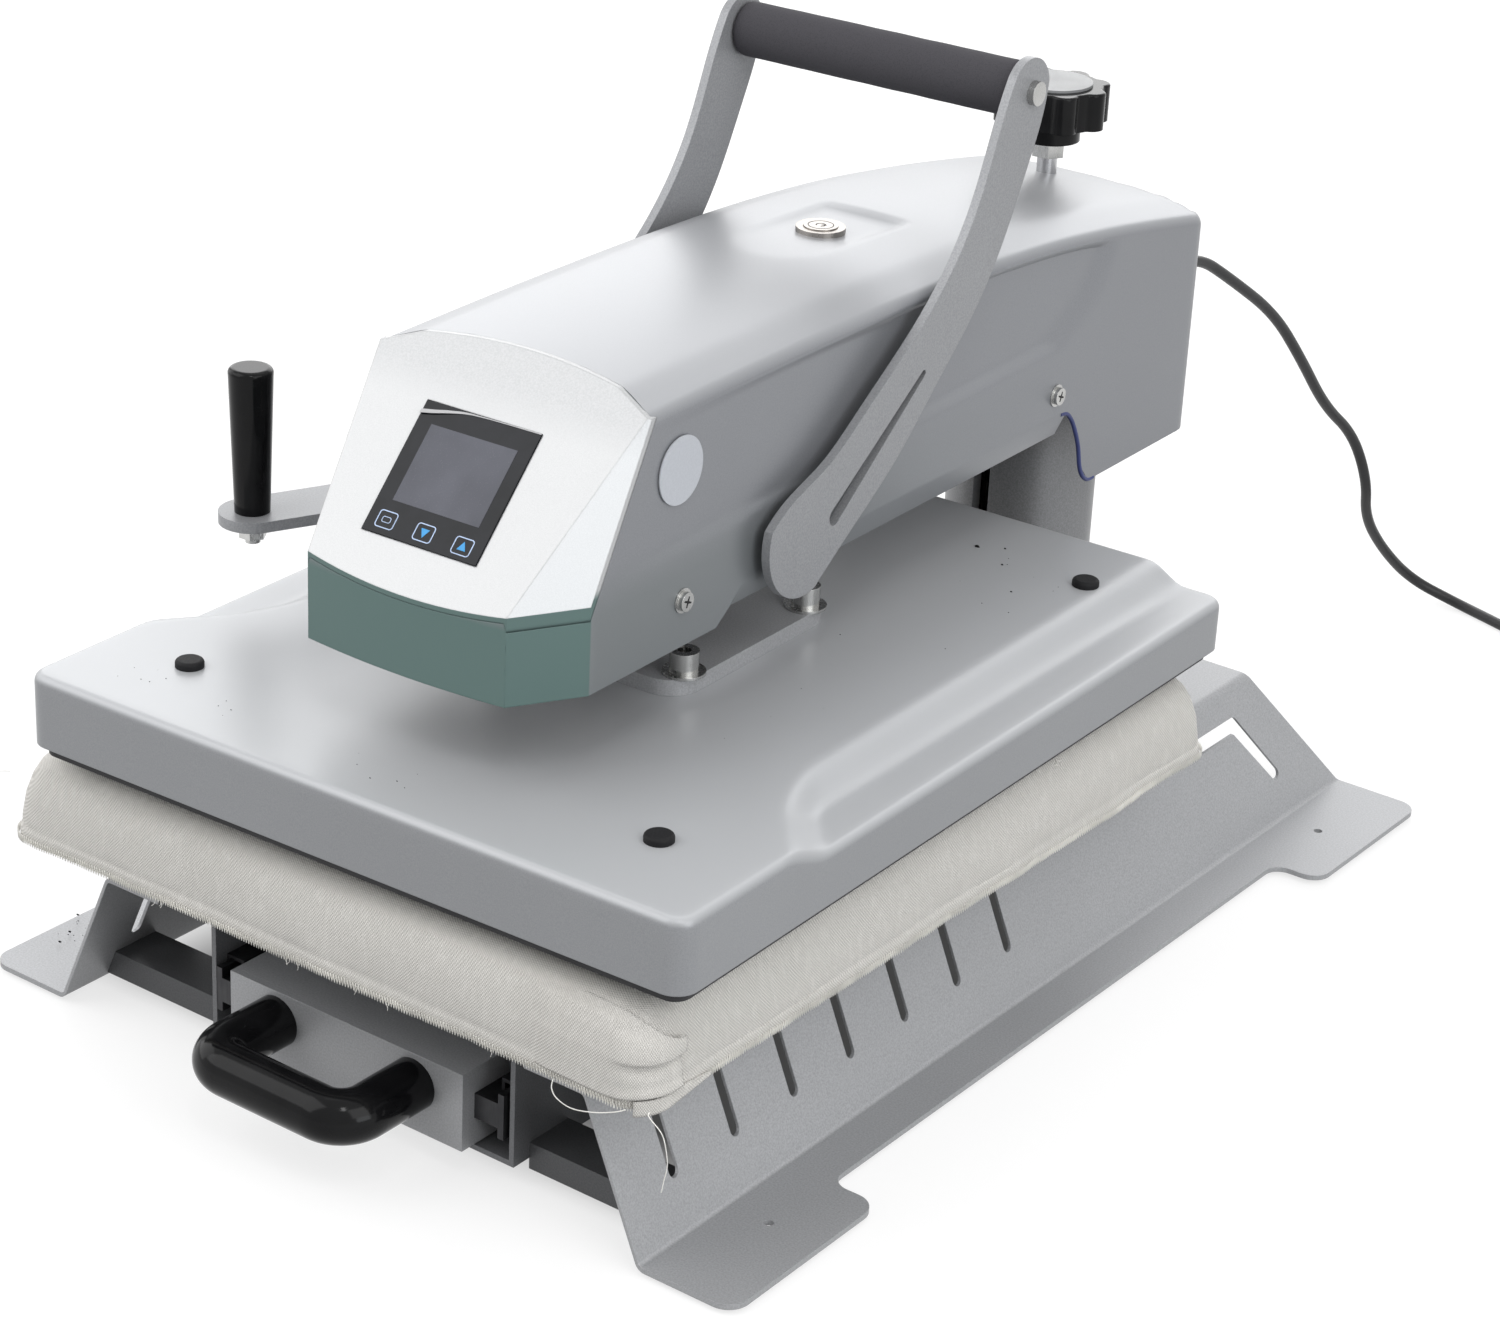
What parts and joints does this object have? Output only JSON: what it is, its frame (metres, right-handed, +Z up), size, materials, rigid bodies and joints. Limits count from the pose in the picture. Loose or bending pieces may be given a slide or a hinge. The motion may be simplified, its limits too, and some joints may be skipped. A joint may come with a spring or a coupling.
{
  "type": "heat press",
  "caption": "Swing-away heat press with a pull-out lower platen, cam lever, pressure knob and touch display, for pressing transfers onto cloth.",
  "frame": {"origin": "centre of the foot holes, at the underside of the base sheet; the rubber pads reach 3 mm lower", "axes": "+Z up, -Y to the front (the operator and the drawer), +X to the right"},
  "size_m": [0.5684, 1.1244, 0.4918],
  "materials": {
    "base_paint": "textured powder coat",
    "head_paint": "satin metallic",
    "fascia_silver": "bright metallic",
    "plate_paint": "textured powder coat",
    "steel": "ground",
    "zinc_steel": "zinc plated",
    "polished_steel": "polished",
    "bronze": "turned",
    "aluminium_plate": "machined",
    "black_rubber": "matte",
    "gloss_black": "gloss",
    "grey_disc": "satin",
    "dark_glass": "gloss",
    "black_plastic": "satin",
    "grip_foam": "foam",
    "silicone_foam": "foam",
    "canvas": "plain weave canvas",
    "wool": "mineral wool",
    "cord_jacket": "satin"
  },
  "bodies": {
    "base": {"left_wing": "base_paint", "right_wing": "base_paint", "foot_pads": "black_rubber", "cross_tubes": "base_paint", "slide_channel": "base_paint", "column_plate": "base_paint", "column_tube": "base_paint", "column_bushes": "bronze", "pressure_nut": "bronze", "outer_rails": "steel"},
    "drawer": {"drawer_carriage": "base_paint", "drawer_face": "base_paint", "d_handle": "gloss_black", "inner_rails": "steel", "platen_support": "base_paint", "lower_platen": "aluminium_plate", "foam_pad": "silicone_foam", "platen_cloth": "canvas"},
    "post": {"lift_post": "steel"},
    "arm": {"frame_base_plate": "plate_paint", "frame_side_plates": "plate_paint", "hub_sleeve": "plate_paint", "frame_top_plate": "plate_paint", "frame_bushes": "bronze", "head_cover": "head_paint", "control_fascia": "fascia_silver", "display_glass": "dark_glass", "controller_box": "black_plastic", "side_screws": "zinc_steel", "side_disc": "grey_disc", "swing_arm": "plate_paint", "swing_grip": "gloss_black", "swing_grip_nut": "zinc_steel", "button_bezel": "polished_steel", "return_springs": "zinc_steel", "cable_gland": "black_plastic", "power_cord": "cord_jacket", "cord_coil": "cord_jacket", "mains_plug": "cord_jacket"},
    "lever": {"left_lever": "plate_paint", "right_lever": "plate_paint", "lever_shaft": "steel", "cam": "steel", "grip_rod": "steel", "foam_grip": "grip_foam", "grip_screws": "zinc_steel"},
    "platen": {"push_block": "steel", "mounting_plate": "plate_paint", "platen_screws": "zinc_steel", "heat_cover": "head_paint", "insulation": "wool", "heating_plate": "aluminium_plate", "corner_plugs": "black_rubber", "guide_posts": "steel"},
    "knob": {"pressure_knob": "gloss_black", "knob_disc": "grey_disc", "pressure_screw": "steel", "lock_nuts": "zinc_steel"},
    "button": {"power_button": "polished_steel"}
  },
  "joints": [
    {"name": "drawer_slide", "type": "slide", "parent": "base", "child": "drawer", "axis": [0, -1, 0], "range_m": [0, 0.28]},
    {"name": "post_lift", "type": "slide", "parent": "base", "child": "post", "axis": [0, 0, 1], "range_m": [0, 0.00875]},
    {"name": "arm_swing", "type": "hinge", "parent": "post", "child": "arm", "pos_m": [0, 0.265, 0], "axis": [0, 0, 1], "range_deg": [-1.7, 108.3]},
    {"name": "lever_turn", "type": "hinge", "parent": "arm", "child": "lever", "pos_m": [0.01115, -0.11084, 0.276], "axis": [0.9996, 0.0297, 0], "range_deg": [0, 125]},
    {"name": "platen_press", "type": "slide", "parent": "arm", "child": "platen", "axis": [0, 0, -1], "range_m": [0, 0.00671], "stiffness_N_per_m": 6000, "springref_m": -0.022, "deforming": ["return_springs"]},
    {"name": "knob_turn", "type": "hinge", "parent": "arm", "child": "knob", "pos_m": [0, 0.265, 0], "axis": [0, 0, 1], "range_deg": [0, 1801]},
    {"name": "button_press", "type": "slide", "parent": "arm", "child": "button", "axis": [0, 0, -1], "range_m": [0, 0.0025], "stiffness_N_per_m": 500, "springref_m": -0.002}
  ],
  "couplings": [
    {"joint": "platen_press", "follows": "lever_turn", "m_per_rad": 0.0030711},
    {"joint": "knob_turn", "follows": "post_lift", "rad_per_m": 3590.4}
  ]
}
